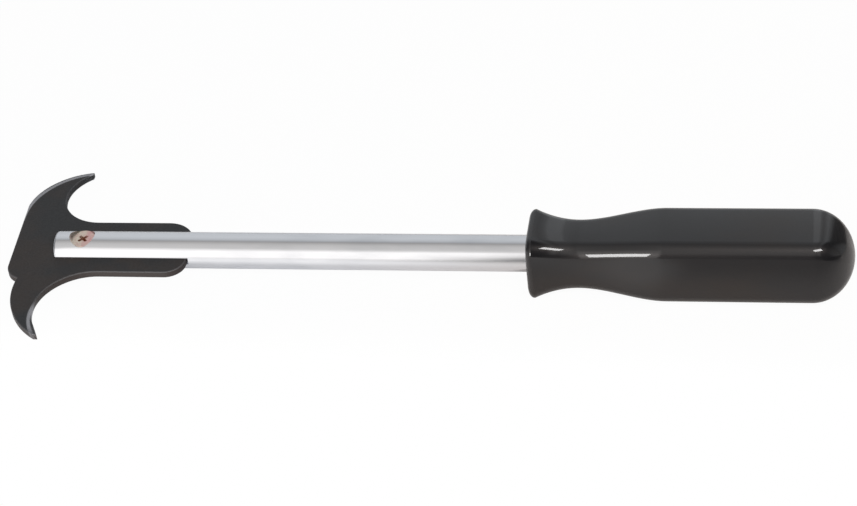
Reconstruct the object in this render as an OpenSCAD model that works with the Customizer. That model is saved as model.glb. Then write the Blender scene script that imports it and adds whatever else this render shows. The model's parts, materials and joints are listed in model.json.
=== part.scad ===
// Seal puller. A flat plate with a small hook on one side and a large hook on the
// other sits in the slotted end of a round shaft, where one countersunk screw holds it.
// The other end of the shaft is set in a moulded handle of square section.
// Each piece is drawn along the shaft, with x = 0 at the nose of the plate, and is then
// tipped to the small angle at which the tool comes to rest on a table.

/* [Overall] */
// Length from the nose of the plate to the end of the handle
overall_len = 301.6; // [270:0.1:360]

/* [Hook plate] */
// Thickness of the plate
plate_t = 2.6; // [1.8:0.1:3.2]
// Width of the tang that lies in the shaft
tang_w = 28.4; // [24:0.2:34]
// Length from the nose to the end of the tang
tang_len = 66.9; // [55:0.1:90]
// Radius of the corner at the end of the tang on the small hook's side
small_corner_r = 10.5; // [2:0.5:11]
// Radius of the corner at the end of the tang on the large hook's side
large_corner_r = 7; // [2:0.5:11]
// Lean of the straight front edge in degrees
front_lean = 3.3; // [0:0.1:6]
// Radius of the rounded nose below the front edge
nose_r = 8.3; // [6:0.1:11]
// Distance of the nose's centre below the shaft axis
nose_drop = 10.5; // [8:0.1:13]

/* [Small hook] */
// Radius of the back of the small hook
small_back_r = 21.4; // [19:0.1:24]
// Height of that arc's centre above the shaft axis
small_back_y = 23.5; // [20:0.1:27]
// Radius of the small hook's throat
small_throat_r = 16.2; // [14:0.1:18]
// Distance of the throat's centre behind the nose
small_throat_x = 29.5; // [27:0.1:33]
// Distance of the blunt tip behind the nose
small_tip_x = 19.8; // [17:0.1:21]
// Greatest width of the bevel that is ground along the back of the small hook
grind_w = 2.1; // [0.5:0.1:3]
// Slope of that bevel in degrees
grind_slope = 22; // [10:1:35]
// Direction in which the bevel is widest, seen from the arc's centre, in degrees
grind_turn = 130; // [115:1:145]
// Offset of the bevel's axis, by which it runs out towards the front edge
grind_offset = 6; // [4:0.1:10]

/* [Large hook] */
// Radius of the back of the large hook
large_back_r = 32.5; // [29:0.1:36]
// Depth of that arc's centre below the shaft axis
large_back_y = 21.8; // [19:0.1:25]
// Step of the large hook's back behind the nose
large_step = 7; // [5:0.1:9]
// Radius of the large hook's throat
large_throat_r = 18.9; // [16:0.1:21]
// Distance of the throat's centre behind the nose
large_throat_x = 36.2; // [34:0.1:40]
// Lean of the straight stretch inside the tip in degrees
large_tip_lean = 26.7; // [20:0.1:32]
// Depth of the tip below the shaft axis
large_reach = 48.8; // [45:0.1:50]

/* [Shaft] */
// Diameter of the shaft
shaft_d = 13; // [12:0.1:15]
// Distance of the forked end behind the nose
fork_x = 17.7; // [10:0.1:20]
// Radius of the turned edge at each end
shaft_edge_r = 0.9; // [0.3:0.1:1.5]
// Length of the shaft that is set in the handle
shaft_embed = 70; // [50:1:85]
// Length of the two flats on the set end
flat_len = 40; // [20:1:45]
// Depth of each flat
flat_depth = 1; // [0.5:0.1:1.5]

/* [Screw] */
// Distance of the screw behind the nose
screw_x = 27.8; // [26:0.1:45]
// Diameter of the screw's shank
screw_d = 5; // [4:0.1:6]
// Diameter of the countersunk head
screw_head_d = 9.2; // [8:0.1:10]
// Height of the straight rim of the head
screw_rim = 0.5; // [0.2:0.1:0.8]
// Height by which the head stands proud of the sides of the shaft
screw_proud = 0.3; // [0:0.1:0.6]
// Span of the cross recess
recess_span = 4.9; // [4:0.1:6]
// Width of each wing of the recess
recess_w = 1.1; // [0.8:0.1:1.4]
// Depth of the recess
recess_depth = 2.3; // [1.5:0.1:2.8]

/* [Handle] */
// Length of the handle
handle_len = 112.1; // [100:0.1:130]
// Width across the flats of the grip
handle_w = 25.9; // [23:0.1:30]
// Width across the flats at the neck
neck_w = 19.8; // [18:0.1:22]
// Distance of the neck behind the front rim
neck_x = 17.6; // [12:0.1:24]
// Radius of the flare from the neck to the front rim
flare_r = 47; // [42:1:80]
// Radius of the rounded edge of the front rim
rim_edge_r = 2.2; // [1:0.1:4]
// Distance behind the rim where the grip reaches its full width
swell_x = 48; // [40:0.5:60]
// Radius of the four long corners
handle_corner_r = 4.9; // [2:0.1:6]
// Length of the domed end
dome_len = 14.5; // [8:0.5:20]

/* [Fits] */
// Clearance on each side of the plate in the slot
slot_fit = 0.05; // [0.02:0.01:0.2]
// Gap between the end of the tang and the end of the slot
slot_end_gap = 0.6; // [0.1:0.1:2]
// Clearance all round the screw in the shaft
screw_fit = 0.05; // [0.02:0.01:0.2]
// Clearance all round the screw in the plate
plate_hole_fit = 0.2; // [0.05:0.05:0.5]
// Clearance all round the shaft in the handle
handle_fit = 0.05; // [0.02:0.01:0.2]
// Clearance beyond the end of the shaft in the handle
bore_end_gap = 0.5; // [0.1:0.1:2]

/* [Hidden] */
$fn = 96;

// Amount that a cutting body stands out past the surface that it cuts
overcut = 1;

shaft_r = shaft_d / 2;
screw_r = screw_d / 2;
screw_head_r = screw_head_d / 2;
tang_half = tang_w / 2;

// Centres of the arcs of the plate, in the plane of the plate
small_back = [small_back_r, small_back_y];
small_throat = [small_throat_x, tang_half + small_throat_r];
large_back = [large_step + large_back_r, -large_back_y];
large_throat = [large_throat_x, -tang_half - large_throat_r];
small_reach = small_back_y + sqrt(pow(small_back_r, 2) - pow(small_back_r - small_tip_x, 2));

// The front edge touches the back of the small hook and the nose, and runs a hair inside
// both arcs so that it crosses them cleanly
front_inset = 0.02;
front_normal = [-cos(front_lean), -sin(front_lean)];
nose_x = small_back_r
    - (small_back_r - nose_r - (nose_drop + small_back_y) * sin(front_lean)) / cos(front_lean);
nose = [nose_x, -nose_drop];

// The bevel of the small hook is part of a cone, whose ridge circle lies off the back's centre
grind = small_back - grind_offset * [cos(grind_turn), sin(grind_turn)];
grind_r = small_back_r - grind_w + grind_offset;

// The straight stretch inside the large tip touches the throat
tip_normal = [-cos(large_tip_lean), -sin(large_tip_lean)];
tip_start = large_throat + large_throat_r * tip_normal;
tip_end = tip_start + (large_reach + tip_start.y) * [tan(large_tip_lean), -1];

slot_end = tang_len + slot_end_gap;
slot_w = plate_t + 2 * slot_fit;

// The rim of the screw head stands a little proud of the sides of the shaft
screw_top = sqrt(pow(shaft_r, 2) - pow(screw_head_r, 2)) + screw_proud;
screw_cone_top = screw_top - screw_rim;
screw_cone_base = screw_cone_top - (screw_head_r - screw_r);
screw_end = -sqrt(pow(shaft_r, 2) - pow(screw_r, 2));
screw_chamfer = screw_d / 10;

handle_x = overall_len - handle_len;
shaft_end = handle_x + shaft_embed;
body_half = handle_w / 2;
neck_half = neck_w / 2;
dome_start = handle_len - dome_len;
body_corner = body_half - handle_corner_r;
body_reach = body_corner * sqrt(2) + handle_corner_r;

// Steps of the handle's loft
corner_steps = 7;
rim_steps = 4;
flare_steps = 7;
swell_steps = 12;
dome_steps = 9;
dome_last = 86;

// The tool rests on the edge of the fork and on the rim or the grip of the handle
fork_touch = fork_x + shaft_edge_r;
rim_touch = handle_x + rim_edge_r;
swell_touch = handle_x + swell_x;
rest_slope = max((flare_half(rim_edge_r) - shaft_r) / (rim_touch - fork_touch),
    (body_half - shaft_r) / (swell_touch - fork_touch));
rest_tilt = atan(rest_slope);
rest_lift = shaft_r * cos(rest_tilt) - fork_touch * sin(rest_tilt);

// Half width of the flare, which is an arc that starts at the neck
function flare_half(x) = neck_half + flare_r - sqrt(pow(flare_r, 2) - pow(neck_x - x, 2));

// Curve from 0 to 1 that is level at both ends
function ease(t) = t * t * (3 - 2 * t);

// Half width of the grip between the neck and its full width
function swell_half(x) = neck_half + (body_half - neck_half) * ease((x - neck_x) / (swell_x - neck_x));

// Half width of the rounded front edge
function rim_half(x) = flare_half(rim_edge_r) - rim_edge_r
    + sqrt(pow(rim_edge_r, 2) - pow(rim_edge_r - x, 2));

// A section of the handle as [place, offset of the corner centres, corner radius]
function flat_section(x, half) = [x, half - handle_corner_r, handle_corner_r];

// A section of the domed end, which turns from square to round towards its tip
function dome_section(a) = [
    dome_start + dome_len * sin(a),
    body_corner * pow(cos(a), 2),
    body_reach * cos(a) - body_corner * pow(cos(a), 2) * sqrt(2)
];

// The points of one section, corner by corner
function section_ring(section) = [
    for (corner = [0 : 3], step = [0 : corner_steps])
        let (
            a = 90 * (corner + step / corner_steps),
            middle = sqrt(2) * section[1] * [cos(90 * corner + 45), sin(90 * corner + 45)]
        )
        [section[0], middle.x + section[2] * cos(a), middle.y + section[2] * sin(a)]
];

handle_sections = concat(
    [for (i = [0 : rim_steps - 1])
        let (x = rim_edge_r * (1 - cos(90 * i / rim_steps)))
        flat_section(x, rim_half(x))],
    [for (i = [0 : flare_steps - 1])
        let (x = rim_edge_r + (neck_x - rim_edge_r) * i / flare_steps)
        flat_section(x, flare_half(x))],
    [for (i = [0 : swell_steps])
        let (x = neck_x + (swell_x - neck_x) * i / swell_steps)
        flat_section(x, swell_half(x))],
    [for (i = [0 : dome_steps]) dome_section(dome_last * i / dome_steps)]
);

// Lays a piece on the table, with the origin below the middle of the tool
module resting() {
    translate([-overall_len * cos(rest_tilt) / 2, (large_reach - small_reach) / 2, rest_lift])
        rotate([0, -rest_tilt, 0])
            children();
}

// One side of the tang, with a round corner at its end
module tang_side(corner_r) {
    straight = tang_len - corner_r;
    translate([nose.x, -overcut])
        square([straight - nose.x, tang_half + overcut]);
    translate([nose.x, -overcut])
        square([tang_len - nose.x, tang_half - corner_r + overcut]);
    translate([straight, tang_half - corner_r])
        circle(r = corner_r);
}

// Outline of the tang
module tang_outline() {
    tang_side(small_corner_r);
    mirror([0, 1])
        tang_side(large_corner_r);
}

// Outline of the straight front edge and the rounded nose
module front_outline() {
    polygon([
        small_back + (small_back_r - front_inset) * front_normal,
        nose + (nose_r - front_inset) * front_normal,
        nose,
        small_back
    ]);
    translate(nose)
        circle(r = nose_r);
}

// Small hook before its throat is cut
module small_hook_outline() {
    intersection() {
        translate(small_back)
            circle(r = small_back_r);
        polygon([
            [0, 0],
            [small_throat.x, 0],
            small_throat,
            [small_tip_x, small_throat.y],
            [small_tip_x, small_back_y + small_back_r],
            [0, small_back_y + small_back_r]
        ]);
    }
}

// Large hook before its throat is cut
module large_hook_outline() {
    intersection() {
        translate(large_back)
            circle(r = large_back_r);
        polygon([
            [0, 0],
            [large_throat.x, 0],
            large_throat,
            tip_start,
            tip_end,
            [0, tip_end.y]
        ]);
    }
}

// Outline of the whole plate, with its throats and its screw hole
module plate_outline() {
    difference() {
        union() {
            tang_outline();
            front_outline();
            small_hook_outline();
            large_hook_outline();
        }
        translate(small_throat)
            circle(r = small_throat_r);
        translate(large_throat)
            circle(r = large_throat_r);
        translate([screw_x, 0])
            circle(r = screw_r + plate_hole_fit);
    }
}

// What the grinding takes off the upper side of the small hook's back
module small_hook_grind() {
    rise = plate_t / tan(grind_slope);
    intersection() {
        translate([-overcut, small_back_y, -plate_t / 2])
            cube([small_back_r + overcut, small_back_r + overcut, plate_t + overcut]);
        difference() {
            translate([grind.x, grind.y, -plate_t / 2])
                cylinder(h = plate_t + overcut, r = grind_r + small_back_r);
            translate([grind.x, grind.y, -plate_t / 2])
                cylinder(h = 2 * plate_t, r1 = grind_r + rise, r2 = grind_r - rise);
        }
    }
}

module hook_plate() {
    color("dimgray")
        resting()
            difference() {
                linear_extrude(height = plate_t, center = true)
                    plate_outline();
                small_hook_grind();
            }
}

// Round bar from one place to another along x, with a rounded edge at each end
module round_bar(from, to, r, edge) {
    translate([from, 0, 0])
        rotate([0, 90, 0])
            rotate_extrude()
                union() {
                    square([r - edge, to - from]);
                    translate([0, edge])
                        square([r, to - from - 2 * edge]);
                    for (y = [edge, to - from - edge])
                        translate([r - edge, y])
                            circle(r = edge);
                }
}

// The two slabs beside the flats of the set end, which keep the handle from turning
module flat_slabs(clear) {
    for (side = [0, 1])
        mirror([0, 0, side])
            translate([shaft_end - flat_len + clear, -shaft_d, shaft_r - flat_depth + clear])
                cube([2 * flat_len, 2 * shaft_d, shaft_d]);
}

// Seat of the screw: a clear hole, a countersink and the round cut above the head
module screw_seat() {
    translate([screw_x, 0, -shaft_r - overcut])
        cylinder(h = shaft_d + 2 * overcut, r = screw_r + screw_fit);
    translate([screw_x, 0, screw_cone_base])
        cylinder(h = screw_cone_top - screw_cone_base, r1 = screw_r + screw_fit, r2 = screw_head_r + screw_fit);
    translate([screw_x, 0, screw_cone_top])
        cylinder(h = shaft_r - screw_cone_top + overcut, r = screw_head_r + screw_fit);
}

module shaft() {
    color("silver")
        resting()
            difference() {
                round_bar(fork_x, shaft_end, shaft_r, shaft_edge_r);
                translate([fork_x - overcut, -shaft_r - overcut, -slot_w / 2])
                    cube([slot_end - fork_x + overcut, shaft_d + 2 * overcut, slot_w]);
                screw_seat();
                flat_slabs(0);
            }
}

// Cross recess of the screw, narrower towards its floor
module cross_recess() {
    intersection() {
        translate([0, 0, screw_top - recess_depth])
            cylinder(h = recess_depth + overcut, r1 = recess_w, r2 = recess_span / 2);
        union() {
            for (a = [45, 135])
                rotate([0, 0, a])
                    translate([-recess_span, -recess_w / 2, screw_top - recess_depth])
                        cube([2 * recess_span, recess_w, recess_depth + overcut]);
        }
    }
}

module retaining_screw() {
    color("rosybrown")
        resting()
            translate([screw_x, 0, 0])
                difference() {
                    rotate_extrude()
                        polygon([
                            [0, screw_end],
                            [screw_r - screw_chamfer, screw_end],
                            [screw_r, screw_end + screw_chamfer],
                            [screw_r, screw_cone_base],
                            [screw_head_r, screw_cone_top],
                            [screw_head_r, screw_top],
                            [0, screw_top]
                        ]);
                    cross_recess();
                }
}

// Solid form of the handle, lofted through its sections
module handle_form() {
    ring_n = 4 * (corner_steps + 1);
    last = len(handle_sections) - 1;
    polyhedron(
        points = [for (section = handle_sections) each section_ring(section)],
        faces = concat(
            [[for (j = [0 : ring_n - 1]) j]],
            [[for (j = [ring_n - 1 : -1 : 0]) last * ring_n + j]],
            [for (i = [0 : last - 1], j = [0 : ring_n - 1])
                let (k = (j + 1) % ring_n)
                [i * ring_n + j, (i + 1) * ring_n + j, (i + 1) * ring_n + k, i * ring_n + k]]
        )
    );
}

// Blind bore of the handle, with lands that lie on the flats of the shaft
module handle_bore() {
    difference() {
        translate([handle_x - overcut, 0, 0])
            rotate([0, 90, 0])
                cylinder(h = shaft_embed + bore_end_gap + overcut, r = shaft_r + handle_fit);
        flat_slabs(handle_fit);
    }
}

module handle() {
    color([0.12, 0.12, 0.13])
        resting()
            difference() {
                translate([handle_x, 0, 0])
                    handle_form();
                handle_bore();
            }
}

hook_plate();
shaft();
retaining_screw();
handle();
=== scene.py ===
import json
import math

import bmesh
import bpy
from mathutils import Matrix, Vector


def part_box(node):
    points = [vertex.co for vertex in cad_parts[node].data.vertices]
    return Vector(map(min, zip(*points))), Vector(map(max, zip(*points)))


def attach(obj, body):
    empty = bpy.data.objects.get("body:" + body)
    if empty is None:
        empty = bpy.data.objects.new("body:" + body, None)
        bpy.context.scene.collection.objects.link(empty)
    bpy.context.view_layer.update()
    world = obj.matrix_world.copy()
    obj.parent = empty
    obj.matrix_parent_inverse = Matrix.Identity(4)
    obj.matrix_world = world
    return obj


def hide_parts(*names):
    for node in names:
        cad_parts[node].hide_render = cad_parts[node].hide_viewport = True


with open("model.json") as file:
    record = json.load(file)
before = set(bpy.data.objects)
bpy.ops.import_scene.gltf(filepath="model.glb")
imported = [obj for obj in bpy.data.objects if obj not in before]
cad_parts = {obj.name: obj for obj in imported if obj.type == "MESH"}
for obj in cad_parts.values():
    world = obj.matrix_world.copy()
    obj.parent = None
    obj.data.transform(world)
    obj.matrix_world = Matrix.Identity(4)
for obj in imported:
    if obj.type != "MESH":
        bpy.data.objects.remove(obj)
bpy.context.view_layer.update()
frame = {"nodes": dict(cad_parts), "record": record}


# Hook plate: one flat steel blank with a small and a large hook, stamped out, blackened and
# clamped in the fork of the shaft. Its edges are rolled over by the die. The back of the small
# hook and the inside of the large one are ground, and use has rubbed the two tips. Painted sheen
# lightens the ground strips and the large hook's inner wall, where they mirror the bright room.

flat_place = 0.2623
flat_drop = 0.01295
merge_distance = 1e-6
flat_angle = math.radians(0.5)
crease_angle = math.radians(19)
flat_lean = 0.999
wall_lean = 0.2
wall_front = (-0.005, 0.005)
plate_edge_round = 0.00034
plate_edge_steps = 4
edge_wear = 0.15
tip_wear = 0.2
tip_wear_reach = 0.0075
# Small hook's back: bare colour over its ground strip, run on over the flat beside it as painted sheen.
small_grind_sheen_centre = Vector((0.025257, 0.018904, 0.0013))
small_grind_sheen_band = (0.0245, 0.0265)
small_grind_sheen_soft = 0.0002
small_grind_sheen_fade = (0.0155, 0.0215)
# Large hook's inside: bare colour by its ground edge, and painted sheen on its inner wall near the tip.
large_grind_sheen_centre = Vector((0.0383, -0.0364, 0.0013))
large_grind_sheen_band = (0.0203, 0.0215)
large_grind_sheen_soft = 0.0003
large_grind_sheen_middle = Vector((0.0180, -0.0402, 0.0013))
large_grind_sheen_reach = 0.0115
large_grind_sheen_amount = 0.85
large_throat_centre = Vector((0.0362, -0.0331, 0))
large_throat_radius = 0.0189
large_throat_depth = 0.0009
large_throat_sheen = 0.4
plate_black = (0.0147, 0.0147, 0.0158, 1)
plate_brown = (0.0250, 0.0180, 0.0150, 1)
plate_wall = (0.021, 0.0128, 0.0102, 1)
# Bare steel colour, also laid on as painted sheen by the ground strips and inside the large hook.
plate_bare_and_sheen = (0.31, 0.31, 0.33, 1)
plate_roughness = (0.48, 0.6)
plate_grain_depth = 0.00002

# The tool's own frame is found from the lower flat of the handle. Its x axis is the bar's, from
# the nose of the plate to the dome, and the points above are given in it.
lower_flat = frame["record"]["mounts"][0]
tool_slope = math.asin(lower_flat["axis"][0])
lay_tool = Matrix.Translation(lower_flat["pos_m"]) @ Matrix.Rotation(-tool_slope, 4, "Y")
lay_tool = lay_tool @ Matrix.Translation((-flat_place, 0, flat_drop))


def copy_of(node):
    """Starts a mesh from a solid of the frame, with its loose triangles merged to whole faces."""
    shape = bmesh.new()
    shape.from_mesh(frame["nodes"][node].data)
    bmesh.ops.remove_doubles(shape, verts=shape.verts, dist=merge_distance)
    bmesh.ops.dissolve_limit(shape, angle_limit=flat_angle, verts=shape.verts, edges=shape.edges)
    return shape


def add_piece(name, shape, material):
    """Makes a smooth piece of a finished mesh, with creases kept and flat faces left flat."""
    mesh = bpy.data.meshes.new(name)
    shape.to_mesh(mesh)
    shape.free()
    mesh.shade_smooth()
    mesh.set_sharp_from_angle(angle=crease_angle)
    mesh.materials.append(material)
    piece = bpy.data.objects.new(name, mesh)
    bpy.context.scene.collection.objects.link(piece)
    normals = piece.modifiers.new("flat faces stay flat", "WEIGHTED_NORMAL")
    normals.keep_sharp = True
    return piece


class Field:
    """A value over a surface: a socket in a material's nodes, with arithmetic that adds Math nodes."""

    def __init__(self, tree, socket=None):
        self.tree = tree
        self.socket = socket

    def node(self, kind, settings=None, inputs=None, output=0):
        """Adds a node of any kind: its settings first, then the values or links of its sockets."""
        made = self.tree.nodes.new("ShaderNode" + kind)
        for name, value in (settings or {}).items():
            if name == "stops":
                stops = made.color_ramp.elements
                while len(stops) < len(value):
                    stops.new(1)
                for stop, (place, colour) in zip(stops, value):
                    stop.position = place
                    stop.color = colour
            else:
                setattr(made, name, value)
        for name, value in (inputs or {}).items():
            if isinstance(value, Field):
                self.tree.links.new(value.socket, made.inputs[name])
            else:
                made.inputs[name].default_value = value
        return Field(self.tree, made.outputs[output] if made.outputs else None)

    def maths(self, operation, *values):
        """Adds a Math node."""
        return self.node("Math", {"operation": operation}, dict(enumerate(values)))

    def __add__(self, other):
        return self.maths("ADD", self, other)

    def __sub__(self, other):
        return self.maths("SUBTRACT", self, other)

    def __rsub__(self, other):
        return self.maths("SUBTRACT", other, self)

    def __mul__(self, other):
        return self.maths("MULTIPLY", self, other)

    __radd__ = __add__
    __rmul__ = __mul__

    def step(self, low, high, start=0.0, end=1.0):
        """Eases from start to end as the value goes from low to high."""
        limits = {"Value": self, "From Min": low, "From Max": high, "To Min": start, "To Max": end}
        return self.node("MapRange", {"interpolation_type": "SMOOTHSTEP"}, limits)

    def along(self, axis, coordinates="Object"):
        """One coordinate of a place on the piece, or of a direction in the room."""
        place = self.node("TexCoord", output=coordinates)
        return self.node("SeparateXYZ", {}, {0: place}, axis)

    def noise(self, scale, detail=3.0, stretch=(1, 1, 1)):
        """Noise on the piece's own coordinates, which may be stretched along an axis."""
        place = self.node("TexCoord", output="Object")
        place = self.node("VectorMath", {"operation": "MULTIPLY"}, {0: place, 1: stretch})
        return self.node("TexNoise", {}, {"Vector": place, "Scale": scale, "Detail": detail})

    def away(self, point):
        """Distance from a point."""
        place = self.node("TexCoord", output="Object")
        return self.node("VectorMath", {"operation": "DISTANCE"}, {0: place, 1: point}, "Value")

    def near(self, point, reach, core=0.35):
        """1 around a point, over the core's share of the reach, and 0 from the reach on."""
        return self.away(point).step(core * reach, reach, 1.0, 0.0)

    def band(self, low, high, soft):
        """1 where the value is between two limits, with soft edges."""
        return self.step(low - soft, low + soft) * self.step(high - soft, high + soft, 1.0, 0.0)

    def blend(self, first, second):
        """The first colour where this value is 0 and the second where it is 1."""
        return self.node("Mix", {"data_type": "RGBA"}, {0: self, 6: first, 7: second}, 2)

    def bump(self, depth, strength=1.0):
        """A normal for this relief, whose depth is in metres."""
        return self.node("Bump", {}, {"Strength": strength, "Distance": depth, "Height": self})


def new_material(name):
    """An empty material and the field that its nodes start from."""
    material = bpy.data.materials.new(name)
    material.use_nodes = True
    material.node_tree.nodes.clear()
    return material, Field(material.node_tree)


def black_steel(tips):
    """Steel with a black finish of a brown cast, bare where it is ground and where use rubs it, with
    painted sheen on the ground strips.
    """
    material, surface = new_material("black_steel")
    worn = surface.node("Attribute", {"attribute_name": "worn"}, output="Fac")
    wall = surface.node("Attribute", {"attribute_name": "wall"}, output="Fac")
    cloud = surface.noise(scale=70, detail=4)
    grain = surface.noise(scale=1500)
    across = surface.along("Y")
    near_tip = sum(surface.near(tip, tip_wear_reach) for tip in tips)
    # The small hook's ground strip is bare, and painted sheen widens it onto the flat beside it.
    small_grind_sheen = surface.away(lay_tool @ small_grind_sheen_centre).band(*small_grind_sheen_band, small_grind_sheen_soft)
    small_grind_sheen = small_grind_sheen * across.step(*small_grind_sheen_fade) * (1 - wall)
    # Bare ground edge inside the large hook, and painted sheen on its inner wall toward the tip.
    large_grind_sheen = surface.away(lay_tool @ large_grind_sheen_centre).band(*large_grind_sheen_band, large_grind_sheen_soft)
    inside = surface.away(lay_tool @ large_throat_centre) - large_throat_radius
    inside = inside.step(0.0, large_throat_depth, 1.0, 0.0)
    large_middle = surface.near(lay_tool @ large_grind_sheen_middle, large_grind_sheen_reach)
    # Rubbed places and ground strips take the bare colour, and so does the painted sheen beside them.
    rubbed_and_sheen = (worn + small_grind_sheen) * cloud.step(0.3, 0.6, 0.7, 1.0)
    rubbed_and_sheen = rubbed_and_sheen + near_tip * grain.step(0.5, 0.62) * tip_wear
    large_bare_and_sheen = large_grind_sheen * large_grind_sheen_amount + wall * inside * large_throat_sheen
    rubbed_and_sheen = rubbed_and_sheen + large_middle * large_bare_and_sheen
    colour = cloud.step(0.38, 0.66).blend(plate_black, plate_brown)
    colour = (wall * across.step(*wall_front, 1.0, 0.0)).blend(colour, plate_wall)
    colour = rubbed_and_sheen.maths("MINIMUM", rubbed_and_sheen, 1.0).blend(colour, plate_bare_and_sheen)
    relief = grain * 0.6 + cloud * 0.4
    shader = surface.node("BsdfPrincipled", {}, {
        "Base Color": colour,
        "Roughness": grain.step(0.3, 0.7, *plate_roughness),
        "Normal": relief.bump(plate_grain_depth, strength=0.6),
        "IOR": 1.5,
    })
    surface.node("OutputMaterial", {}, {"Surface": shader})
    return material


plate_shape = copy_of("hook_plate")
worn_layer = plate_shape.faces.layers.float.new("worn")
wall_layer = plate_shape.faces.layers.float.new("wall")
small_tip = max((v.co for v in plate_shape.verts), key=lambda p: p.y).copy()
large_tip = min((v.co for v in plate_shape.verts), key=lambda p: p.y).copy()
plate_up = max(plate_shape.faces, key=lambda f: f.calc_area() * f.normal.z).normal.copy()


def is_rim(edge):
    """True for an edge between a flat side of the plate and its cut wall."""
    lean = sorted(abs(face.normal.dot(plate_up)) for face in edge.link_faces)
    return len(lean) == 2 and lean[0] < wall_lean and lean[1] > flat_lean


for face in plate_shape.faces:
    face[wall_layer] = 1 if abs(face.normal.dot(plate_up)) < wall_lean else 0
plate_rims = [e for e in plate_shape.edges if is_rim(e)]
rounded = bmesh.ops.bevel(
    plate_shape, geom=plate_rims, offset=plate_edge_round, offset_type="OFFSET", affect="EDGES",
    segments=plate_edge_steps, profile=0.5, material=-1, loop_slide=False,
)
for face in rounded["faces"]:
    face[wall_layer] = 0
    face[worn_layer] = edge_wear
bmesh.ops.remove_doubles(plate_shape, verts=plate_shape.verts, dist=merge_distance)
plate = add_piece("hook_plate_black", plate_shape, black_steel([small_tip, large_tip]))
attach(plate, "root")
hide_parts("hook_plate")


# Shaft: a drawn round bar, bright plated, whose slotted end grips the plate and whose other
# end is set in the handle. The plating keeps the fine drawing lines of the bar.

shaft_bright = (0.88, 0.88, 0.90, 1)
shaft_dull = (0.77, 0.775, 0.80, 1)
shaft_roughness = (0.09, 0.16)
shaft_line_depth = 0.00001


def bright_plate():
    """Bright plating over the lines that drawing has left along the bar, with dull clouds."""
    material, surface = new_material("bright_plate")
    drawn = surface.noise(scale=260, detail=4, stretch=(0.03, 1, 1))
    cloud = surface.noise(scale=120, stretch=(0.3, 1, 1))
    stain = cloud.step(0.4, 0.75)
    shader = surface.node("BsdfPrincipled", {}, {
        "Base Color": stain.blend(shaft_bright, shaft_dull),
        "Metallic": 1.0,
        "Roughness": (drawn * 0.5 + cloud * 0.5).step(0.35, 0.7, *shaft_roughness),
        "Normal": drawn.bump(shaft_line_depth, strength=0.2),
    })
    surface.node("OutputMaterial", {}, {"Surface": shader})
    return material


shaft = frame["nodes"]["shaft"]
shaft.data.materials.clear()
shaft.data.materials.append(bright_plate())


# Retaining screw: a countersunk cross-recess screw, yellow plated, that goes down through the
# upper cheek and the plate into the tapped lower cheek. Its plating turns pink toward the handle,
# and rust sits in the recess.

screw_yellow = (0.87, 0.76, 0.62, 1)
screw_pink = (0.87, 0.51, 0.49, 1)
screw_rust = (0.55, 0.24, 0.13, 1)
screw_pink_fade = (-0.002, 0.003)
screw_roughness = (0.34, 0.48)
screw_pit_depth = 0.00003
recess_middle_depth = 0.0016
rust_reach = 0.0024


def yellow_plate(recess):
    """Yellow plating that turns pink toward one side, with rust around the middle of the recess."""
    material, surface = new_material("yellow_plate")
    cloud = surface.noise(scale=900)
    rust = surface.near(recess, rust_reach)
    backward = surface.along("X") - recess.x
    stain = backward.step(*screw_pink_fade) * 0.65 + cloud.step(0.4, 0.62) * 0.35
    colour = stain.blend(screw_yellow, screw_pink)
    shader = surface.node("BsdfPrincipled", {}, {
        "Base Color": rust.blend(colour, screw_rust),
        "Metallic": 1 - rust * 0.9,
        "Roughness": cloud.step(0.3, 0.7, *screw_roughness),
        "Normal": cloud.bump(screw_pit_depth, strength=0.5),
    })
    surface.node("OutputMaterial", {}, {"Surface": shader})
    return material


screw = frame["nodes"]["retaining_screw"]
screw_low, screw_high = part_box("retaining_screw")
screw_middle = (screw_low + screw_high) / 2
recess_middle = Vector((screw_middle.x, screw_middle.y, screw_high.z - recess_middle_depth))
screw.data.materials.clear()
screw.data.materials.append(yellow_plate(recess_middle))


# Handle: moulded in one piece of glossy black plastic, with a square section and rounded
# corners. It flares to a front rim, narrows to a neck for the thumb, swells to the grip and
# closes in a dome. The shaft is pressed in its blind bore.

quarter_turn = math.pi / 2
nose_to_rim = 0.1895
handle_length = 0.1121
grip_half = 0.01295
neck_half = 0.0099
neck_place = 0.0176
flare_radius = 0.047
rim_round = 0.0022
swell_place = 0.048
corner_radius = 0.0049
dome_length = 0.0145
dome_start = handle_length - dome_length
bore_radius = 0.00655
bore_depth = 0.0705
rim_rings = 8
flare_rings = 20
swell_rings = 34
dome_rings = 26
corner_rings = 12
side_rings = 7
side_crown = math.radians(4)
handle_black = (0.0075, 0.0075, 0.0085, 1)
handle_brown = (0.012, 0.0095, 0.0085, 1)
handle_tint = (1.0, 0.88, 0.83, 1)
handle_roughness = (0.37, 0.46)
handle_coat = (0.86, 0.78)
handle_wave_depth = 0.00005


def ease(share):
    """Rises from 0 to 1, level at both ends."""
    return share * share * (3 - 2 * share)


def only(kind, parts):
    """The parts of one kind among those that an operator has made."""
    return [part for part in parts if isinstance(part, kind)]


def flare_half(x):
    """Half width of the flare, an arc from the neck forward to the rim."""
    return neck_half + flare_radius - math.sqrt(flare_radius**2 - (neck_place - x) ** 2)


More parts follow.
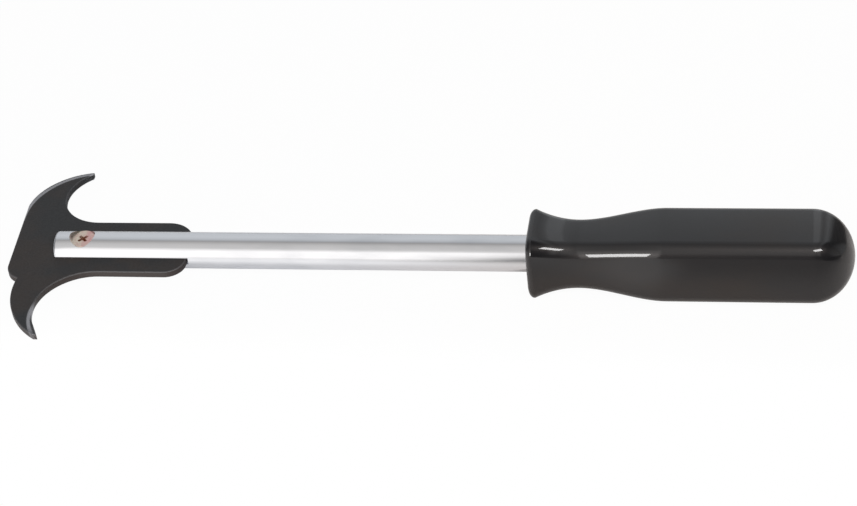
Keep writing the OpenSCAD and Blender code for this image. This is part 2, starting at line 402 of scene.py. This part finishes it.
def handle_section(x):
    """The offset of the corner centres and the corner radius at a distance behind the rim."""
    if x > handle_length - merge_distance:
        return 0, 0
    if x > dome_start:
        rise = (x - dome_start) / dome_length
        fall = math.sqrt(1 - rise**2)
        reach = (grip_half - corner_radius) * math.sqrt(2) + corner_radius
        offset = (grip_half - corner_radius) * fall**2
        return offset, reach * fall - offset * math.sqrt(2)
    if x > swell_place:
        half = grip_half
    elif x > neck_place:
        share = (x - neck_place) / (swell_place - neck_place)
        half = neck_half + (grip_half - neck_half) * ease(share)
    elif x > rim_round:
        half = flare_half(x)
    else:
        half = flare_half(rim_round) - rim_round + math.sqrt(rim_round**2 - (rim_round - x) ** 2)
    return half - corner_radius, corner_radius


def side_lean(x):
    """Slope of a side beside its corner: the sides are a little crowned behind the flat front rim."""
    return side_crown * ease(min(1, x / neck_place))


def handle_places():
    """Distances behind the rim at which the handle's form is drawn."""
    rim = [rim_round * (1 - math.cos(quarter_turn * i / rim_rings)) for i in range(rim_rings)]
    flare = [rim_round + (neck_place - rim_round) * i / flare_rings for i in range(flare_rings)]
    swell = [neck_place + (swell_place - neck_place) * i / swell_rings for i in range(swell_rings + 1)]
    rise = [math.sin(quarter_turn * i / dome_rings) for i in range(dome_rings + 1)]
    dome = [dome_start + dome_length * share for share in rise]
    return rim + flare + swell + dome


def handle_form():
    """The four corners of the handle: one is spun by a quarter turn, shaped and set in four places."""
    shape = bmesh.new()
    line = [shape.verts.new((x, 1, 0)) for x in handle_places()]
    edges = [shape.edges.new(pair) for pair in zip(line, line[1:])]
    bmesh.ops.spin(
        shape, geom=line + edges, cent=(0, 0, 0), axis=(1, 0, 0), dvec=(0, 0, 0),
        angle=quarter_turn, steps=corner_rings, use_merge=False,
    )
    for vert in shape.verts:
        offset, radius = handle_section(vert.co.x)
        lean = side_lean(vert.co.x)
        angle = lean + math.atan2(vert.co.z, vert.co.y) * (1 - 2 * lean / quarter_turn)
        vert.co.y = offset + radius * math.cos(angle)
        vert.co.z = offset + radius * math.sin(angle)
    corner = shape.verts[:] + shape.edges[:] + shape.faces[:]
    for turn in range(1, 4):
        copied = bmesh.ops.duplicate(shape, geom=corner)["geom"]
        turned = Matrix.Rotation(turn * quarter_turn, 3, "X")
        bmesh.ops.rotate(shape, verts=only(bmesh.types.BMVert, copied), cent=(0, 0, 0), matrix=turned)
    bmesh.ops.remove_doubles(shape, verts=shape.verts, dist=merge_distance)
    return shape


def open_edges(shape, level, start, end):
    """The open edges of the side that level turns to the top, between two distances behind the rim."""
    found = []
    for edge in shape.edges:
        middle = level @ (edge.verts[0].co + edge.verts[1].co) / 2
        if edge.is_boundary and middle.z > abs(middle.y) and start < middle.x < end:
            found.append(edge)
    return found


def crown_side(shape, turn):
    """Closes one side between its two corners, bowed out in line with them, as far as the dome's tip."""
    level = Matrix.Rotation(-turn * quarter_turn, 3, "X")
    tip = handle_places()[-2] - merge_distance
    across = bmesh.ops.bridge_loops(shape, edges=open_edges(shape, level, merge_distance, tip))["edges"]
    made = bmesh.ops.subdivide_edges(shape, edges=across, cuts=side_rings, use_grid_fill=True)
    for vert in only(bmesh.types.BMVert, made["geom_inner"]):
        place = level @ vert.co
        offset, radius = handle_section(place.x)
        lean = side_lean(place.x)
        half = offset + radius * math.sin(lean)
        place.z += half * math.tan(lean) / 2 * (1 - (place.y / half) ** 2)
        vert.co = level.transposed() @ place
    bmesh.ops.contextual_create(shape, geom=open_edges(shape, level, tip, handle_length))


def glossy_black():
    """Black plastic with a clear gloss over it, a little brown and wavy from the mould."""
    material, surface = new_material("black_plastic")
    cloud = surface.noise(scale=55, stretch=(0.5, 1, 1))
    fine = surface.noise(scale=900)
    shader = surface.node("BsdfPrincipled", {}, {
        "Base Color": cloud.step(0.4, 0.7).blend(handle_black, handle_brown),
        "Roughness": (fine * 0.4 + cloud * 0.6).step(0.3, 0.7, *handle_roughness),
        "Specular IOR Level": 0.20,
        "Specular Tint": handle_tint,
        "Coat Weight": cloud.step(0.3, 0.7, *handle_coat),
        "Coat Roughness": 0.05,
        "Normal": (cloud * 0.9 + fine * 0.1).bump(handle_wave_depth, strength=0.2),
        "IOR": 1.5,
    })
    surface.node("OutputMaterial", {}, {"Surface": shader})
    return material


handle_shape = handle_form()
for turn in range(4):
    crown_side(handle_shape, turn)
rim_edges = [
    e for e in handle_shape.edges if e.is_boundary and max(v.co.x for v in e.verts) < merge_distance
]
bore_ring = bmesh.ops.extrude_edge_only(handle_shape, edges=rim_edges)["geom"]
for vert in only(bmesh.types.BMVert, bore_ring):
    vert.co = Vector((0, vert.co.y, vert.co.z)).normalized() * bore_radius
bore_edges = only(bmesh.types.BMEdge, bore_ring)
bore_end = bmesh.ops.extrude_edge_only(handle_shape, edges=bore_edges)["geom"]
bmesh.ops.translate(handle_shape, verts=only(bmesh.types.BMVert, bore_end), vec=(bore_depth, 0, 0))
bmesh.ops.contextual_create(handle_shape, geom=only(bmesh.types.BMEdge, bore_end))
bmesh.ops.remove_doubles(handle_shape, verts=handle_shape.verts, dist=merge_distance)
bmesh.ops.recalc_face_normals(handle_shape, faces=handle_shape.faces)
lay_handle = lay_tool @ Matrix.Translation((nose_to_rim, 0, 0))
bmesh.ops.transform(handle_shape, matrix=lay_handle, verts=handle_shape.verts)
handle = add_piece("handle_glossy", handle_shape, glossy_black())
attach(handle, "root")
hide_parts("handle")


# Studio: a white table that shows itself white and keeps a faint shadow. Its front edge lies
# close to the tool, so that the polished pieces mirror the room beyond it: bright to the left,
# dark behind the camera. A low lamp stands in front on the left and a long one hangs on the right.

table_reach = 4.0
table_front = -0.056
table_white = (0.80, 0.76, 0.735, 1)
table_cool = (0.76, 0.77, 0.79, 1)
table_shade = (0.39, 0.37, 0.355, 1)
table_shadow_share = 0.03
table_left = (-0.06, 0.06)
table_ahead = (-0.022, -0.005)
table_edge_fade = (-0.048, -0.018)
# Painted light: a glowing spot on the table that only reflections see.
table_painted_glow = (0.070, -0.037, 0)
table_painted_glow_reach = 0.026
table_painted_glow_share = 0.85
lamp_distance = 0.9
lamp_radiance = 17.0
lamps = {
    "low_lamp": {"turn": -19.0, "rise": 2.0, "width": 0.25, "height": 0.36},
    "high_lamp": {"turn": 36.0, "rise": 49.0, "width": 0.38, "height": 0.20},
}
room_low = -45.0
room_high = 180.0
room_behind = 103.0
room_cool = 0.04
room_warm = 0.015
room_side_fade = (-0.165, -0.115)
room_left = [(-45, 1.0), (-14, 1.0), (-10, 0.92), (-5, 1.18), (34, 1.18), (42, 0.77), (50, 0.65),
             (74, 0.56), (88, 0.44), (96, 0.35), (104, 0.43), (113, 0.55), (132, 0.62), (160, 0.60)]
room_right = [(-45, 0.36), (-24, 0.14), (-8, 0.05), (2, 0.055), (12, 0.35), (22, 0.55), (34, 0.58),
              (42, 0.53), (54, 0.48), (75, 0.45), (94, 0.34), (109, 0.49), (132, 0.57), (160, 0.56)]
room_by_side = [(-1.0, 0.25), (-0.9, 0.25), (-0.5, 1.0), (-0.1, 1.0), (0.0, 1.2), (0.15, 1.15),
                (0.21, 0.75), (0.31, 1.45), (0.36, 1.0), (0.44, 0.1), (0.7, 0.1), (0.86, 0.6),
                (1.0, 0.9)]
window_light = 0.6
window_side = (0.0, 0.14)
window_soft = 0.02
window_back = (0.45, 0.65)


def white_table():
    """A matt table that is white for the camera, and white on the left in what mirrors it."""
    material, surface = new_material("white_table")
    seen = surface.node("LightPath", output="Is Camera Ray")
    mirrored = surface.node("LightPath", output="Is Glossy Ray")
    left = surface.along("X").step(*table_left, 1.0, 0.0)
    across = surface.along("Y") - lay_tool.translation.y
    ahead = across.step(*table_ahead, 1.0, 0.0)
    from_edge = across.step(*table_edge_fade)
    # Painted shade: the table's own colour darkens toward its front edge.
    tone = from_edge.blend(table_shade, left.blend(table_white, table_cool))
    # Painted light: a glowing spot on the table, seen only in what mirrors it, lightens the front of the
    # handle's neck.
    painted_glow = surface.near(table_painted_glow, table_painted_glow_reach) * table_painted_glow_share
    white = seen * (1 - from_edge * table_shadow_share) + mirrored * (left * ahead + painted_glow)
    matt = {"Base Color": tone, "Roughness": 1.0, "Specular IOR Level": 0.0}
    lit = surface.node("BsdfPrincipled", {}, matt)
    shown = surface.node("Emission", {}, {"Color": (1, 1, 1, 1), "Strength": 1.0})
    shader = surface.node("MixShader", {}, {0: white, 1: lit, 2: shown})
    surface.node("OutputMaterial", {}, {"Surface": shader})
    return material


table_shape = bmesh.new()
bmesh.ops.create_grid(table_shape, x_segments=1, y_segments=1, size=table_reach)
bmesh.ops.translate(table_shape, verts=table_shape.verts, vec=(0, table_reach + table_front, 0))
table_mesh = bpy.data.meshes.new("table")
table_shape.to_mesh(table_mesh)
table_shape.free()
table_mesh.materials.append(white_table())
table = bpy.data.objects.new("table", table_mesh)
bpy.context.scene.collection.objects.link(table)

world = bpy.data.worlds.new("studio")
world.use_nodes = True
world.node_tree.nodes.clear()
room = Field(world.node_tree)
sideways = room.along("X", "Generated")
backward = room.along("Y", "Generated")
upward = room.along("Z", "Generated")
# Degrees from level in front, over the top, to level behind the tool.
rise = room.maths("ARCTAN2", upward, 0 - backward) * (180 / math.pi)


def tone_over(value, low, high, tones):
    """A tone that follows a list of places between low and high: warm, and cool behind the tool."""
    stops = []
    for place, tone in tones:
        cool = room_cool if place > room_behind else -room_warm
        stops.append(((place - low) / (high - low), (tone * (1 - cool), tone, tone * (1 + cool), 1)))
    return room.node("ValToRGB", {"stops": stops}, {"Fac": (value - low) * (1 / (high - low))})


front = sideways.step(*room_side_fade).blend(
    tone_over(rise, room_low, room_high, room_left), tone_over(rise, room_low, room_high, room_right)
)
sides = tone_over(sideways, -1, 1, room_by_side)
window = sideways.band(*window_side, window_soft) * backward.step(*window_back)
glow = room.node("Background", {}, {"Color": front, "Strength": sides + window * window_light})
white = room.node("Background", {}, {"Color": (1, 1, 1, 1), "Strength": 1.0})
seen = room.node("LightPath", output="Is Camera Ray")
room.node("OutputWorld", {}, {"Surface": room.node("MixShader", {}, {0: seen, 1: glow, 2: white})})
bpy.context.scene.world = world

# The bright metal mirrors neither the dark plate nor the lamps, which would glare on it.
plate.visible_glossy = False
lamp_lit = bpy.data.collections.new("lit_by_the_lamps")
for lit_object in (plate, handle, table):
    lamp_lit.objects.link(lit_object)
for name, place in lamps.items():
    turn = math.radians(place["turn"])
    lift = math.radians(place["rise"])
    ahead = math.cos(lift)
    direction = Vector((math.sin(turn) * ahead, -math.cos(turn) * ahead, math.sin(lift)))
    light = bpy.data.lights.new(name, "AREA")
    light.shape = "RECTANGLE"
    light.size = place["width"]
    light.size_y = place["height"]
    light.energy = math.pi * place["width"] * place["height"] * lamp_radiance
    lamp = bpy.data.objects.new(name, light)
    lamp.location = direction * lamp_distance
    lamp.rotation_euler = direction.to_track_quat("Z", "Y").to_euler()
    lamp.visible_camera = False
    lamp.light_linking.receiver_collection = lamp_lit
    bpy.context.scene.collection.objects.link(lamp)


# Camera: in front of the tool and above it, a little to the right of its middle and tipped
# to the side, so that the tool lies across the picture with its hooks low on the left.
# Its place is measured from the nose of the plate, along the tool, across it and up.

view_place = Vector((0.291180, -0.630283, 0.506176))
view_back = Vector((0.167778, -0.768459, 0.617512)).normalized()
view_up = Vector((-0.009138, 0.625152, 0.780449)).normalized()
view_lens = 97.714
view_sensor = 36.0

camera_data = bpy.data.cameras.new("camera")
camera_data.lens = view_lens
camera_data.sensor_width = view_sensor
camera = bpy.data.objects.new("camera", camera_data)
bpy.context.scene.collection.objects.link(camera)
view_turn = Matrix((view_up.cross(view_back), view_up, view_back)).transposed()
camera.matrix_world = lay_tool @ Matrix.Translation(view_place) @ view_turn.to_4x4()
bpy.context.scene.camera = camera
bpy.context.scene.view_settings.view_transform = "Standard"
